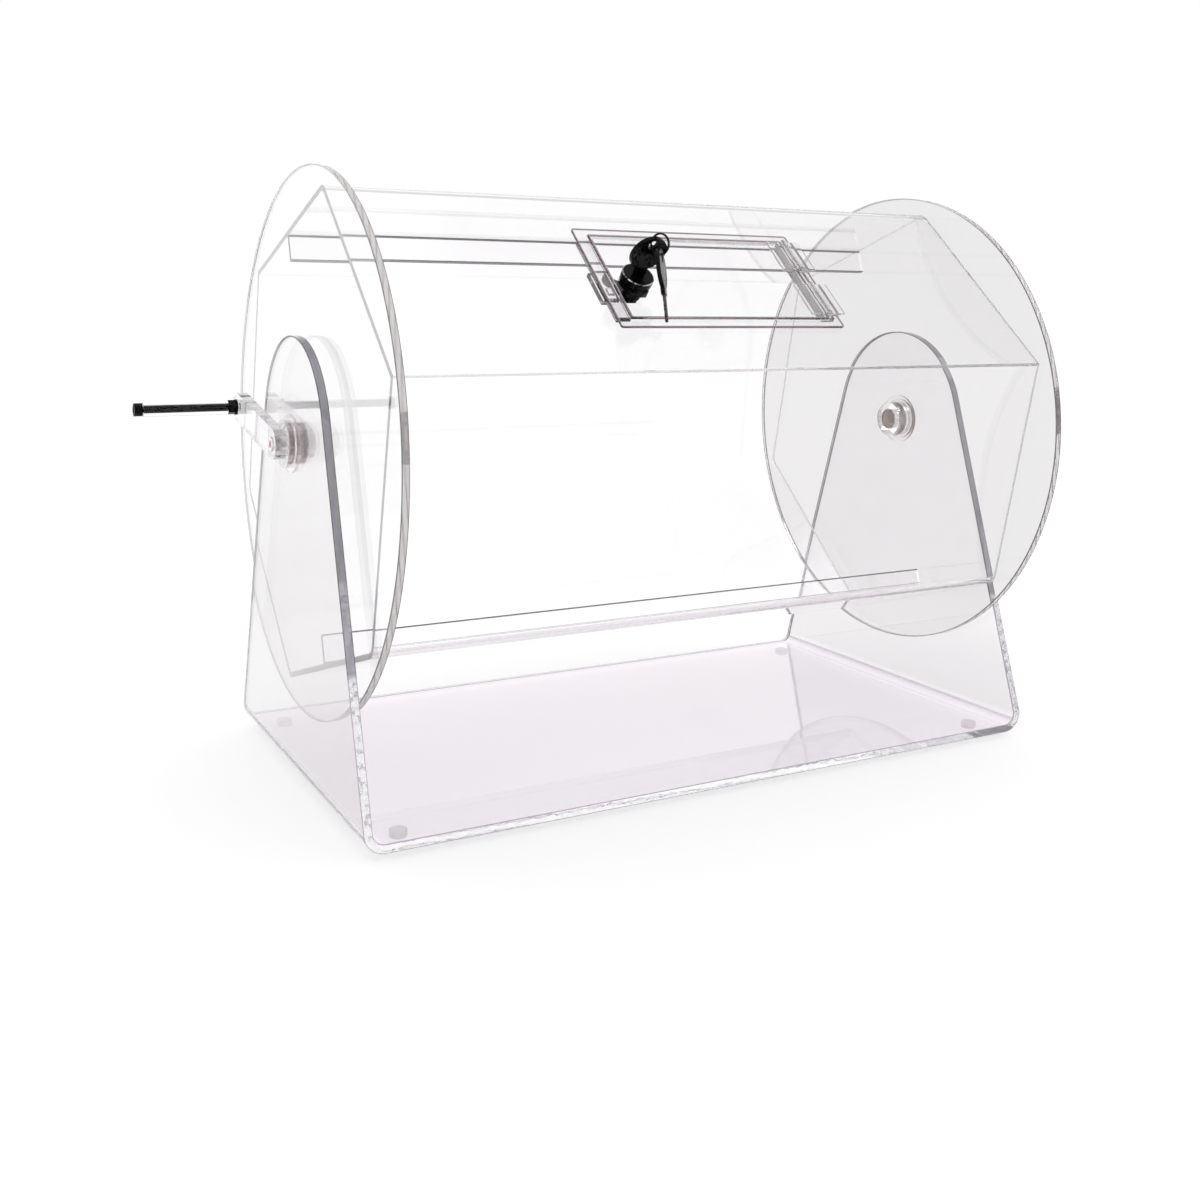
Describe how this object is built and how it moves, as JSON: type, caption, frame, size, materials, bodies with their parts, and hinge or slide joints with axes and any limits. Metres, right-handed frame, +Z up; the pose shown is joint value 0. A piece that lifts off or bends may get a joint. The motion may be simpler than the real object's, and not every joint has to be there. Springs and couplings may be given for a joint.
{
  "type": "raffle drum with crank",
  "caption": "Clear six-sided ticket drum between round discs, turned by a hand crank on a bent sheet stand, with a hinged, locked door.",
  "frame": {"origin": "on the ground under the middle of the whole object's box, crank included", "axes": "+X along the drum's axle from the crank side to the far side, +Y to the rear, away from the ticket door's side, +Z up"},
  "size_m": [0.661, 0.395, 0.4499],
  "materials": {
    "clear_acrylic": "polished",
    "clear_hinge": "polished",
    "foot_plastic": "satin",
    "screw_metal": "satin",
    "black_metal": "satin",
    "black_lock": "gloss",
    "black_key_plastic": "gloss",
    "key_steel": "satin",
    "ring_steel": "polished",
    "pin_steel": "satin"
  },
  "bodies": {
    "stand": {"stand_sheet": "clear_acrylic", "foot_front_left": "foot_plastic", "foot_front_right": "foot_plastic", "foot_rear_left": "foot_plastic", "foot_rear_right": "foot_plastic", "bearing_ring_left": "clear_acrylic", "bearing_ring_right": "clear_acrylic"},
    "drum": {"axle_plug": "clear_acrylic", "axle_tube_left": "clear_acrylic", "axle_tube_right": "clear_acrylic", "baffle_lower": "clear_acrylic", "baffle_upper": "clear_acrylic", "crank_arm": "clear_acrylic", "crank_hub": "clear_acrylic", "crank_screw": "screw_metal", "door_surround": "clear_acrylic", "front_sheet": "clear_acrylic", "handle_bolt": "black_metal", "handle_nut": "black_metal", "handle_washer": "black_metal", "hinge_fixed_leaf_lower": "clear_hinge", "hinge_fixed_leaf_upper": "clear_hinge", "hinge_pad_lower": "clear_hinge", "hinge_pad_upper": "clear_hinge", "hinge_strip": "clear_acrylic", "latch_keeper": "clear_acrylic", "latch_strip": "clear_acrylic", "left_disc": "clear_acrylic", "rear_sheet": "clear_acrylic", "retaining_collar": "clear_acrylic", "right_disc": "clear_acrylic", "upper_sheet": "clear_acrylic"},
    "grip": {"handle_grip": "clear_acrylic"},
    "door": {"door_panel": "clear_acrylic", "hinge_door_leaf_upper": "clear_hinge", "hinge_door_leaf_lower": "clear_hinge", "hinge_pin_upper": "pin_steel", "hinge_pin_lower": "pin_steel", "lock_body": "black_lock", "lock_washer": "black_lock", "lock_nut": "black_lock"},
    "lock_core": {"lock_plug": "black_lock", "lock_cam": "black_lock", "cam_nut": "black_lock", "key_bow": "black_key_plastic", "key_blade": "key_steel"},
    "key_ring": {"key_ring": "ring_steel"},
    "spare_key": {"spare_key_bow": "black_key_plastic", "spare_key_blade": "key_steel"}
  },
  "joints": [
    {"name": "drum_spin", "type": "hinge", "parent": "stand", "child": "drum", "pos_m": [0.0433, 0, 0.2525], "axis": [1, 0, 0], "continuous": true},
    {"name": "grip_spin", "type": "hinge", "parent": "drum", "child": "grip", "pos_m": [-0.2867, 0.10324, 0.27163], "axis": [1, 0, 0], "continuous": true},
    {"name": "door_hinge", "type": "hinge", "parent": "drum", "child": "door", "pos_m": [0.12855, -0.11212, 0.37615], "axis": [0, 0.7408, 0.6717], "range_deg": [0, 105]},
    {"name": "lock_turn", "type": "hinge", "parent": "door", "child": "lock_core", "pos_m": [-0.0222, -0.1122, 0.36879], "axis": [0, 0.6717, -0.7408], "range_deg": [0, 90]},
    {"name": "ring_swing", "type": "hinge", "parent": "lock_core", "child": "key_ring", "pos_m": [-0.0222, -0.13503, 0.39398], "axis": [0.9135, 0.4067, 0], "range_deg": [-40, 0]},
    {"name": "spare_key_swing", "type": "hinge", "parent": "key_ring", "child": "spare_key", "pos_m": [-0.01926, -0.14164, 0.38769], "axis": [-0.4067, 0.9135, 0], "range_deg": [-12, 12]}
  ]
}
